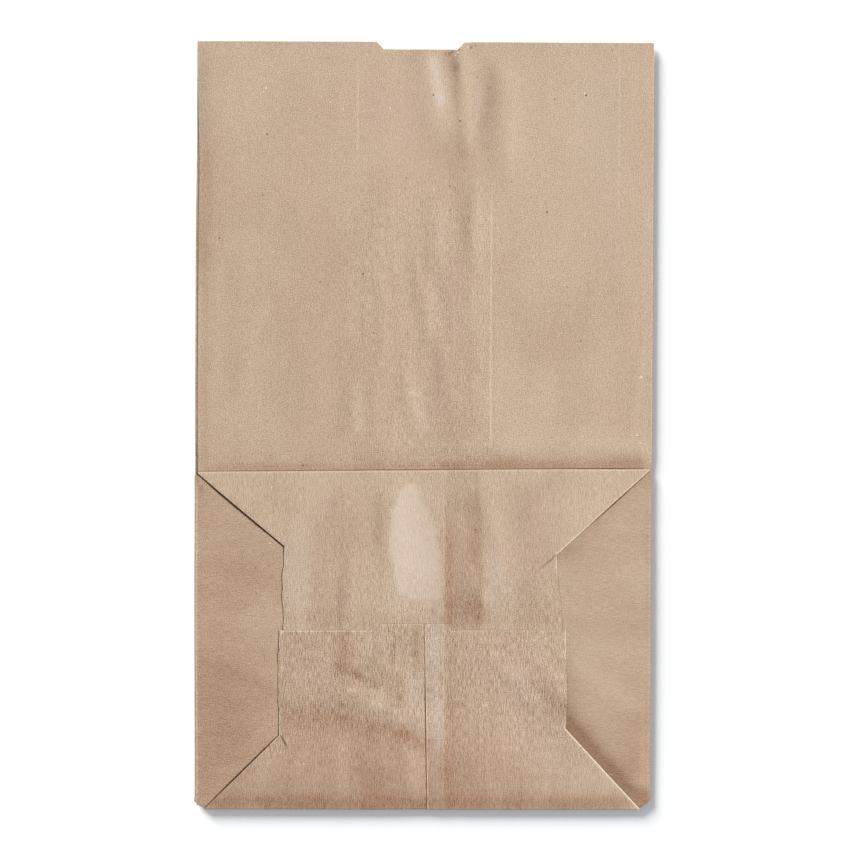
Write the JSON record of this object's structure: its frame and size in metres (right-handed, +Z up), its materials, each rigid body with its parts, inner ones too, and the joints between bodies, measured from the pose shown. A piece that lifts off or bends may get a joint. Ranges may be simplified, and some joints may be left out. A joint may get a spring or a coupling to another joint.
{
  "type": "brown paper lunch bag",
  "caption": "Brown kraft paper lunch bag with side gussets, a thumb notch at the mouth and a pasted square bottom, folded flat.",
  "frame": {"origin": "under the middle of the folded bag, on the surface that it lies on", "axes": "+X across the bag, +Y along it from the closed bottom end to the open mouth, +Z up, out of the side that the folded-up bottom is on"},
  "size_m": [0.21, 0.353, 0.0037],
  "materials": {
    "kraft_paper": "matt"
  },
  "bodies": {
    "root": {"paper_bag": "kraft_paper"}
  },
  "joints": []
}
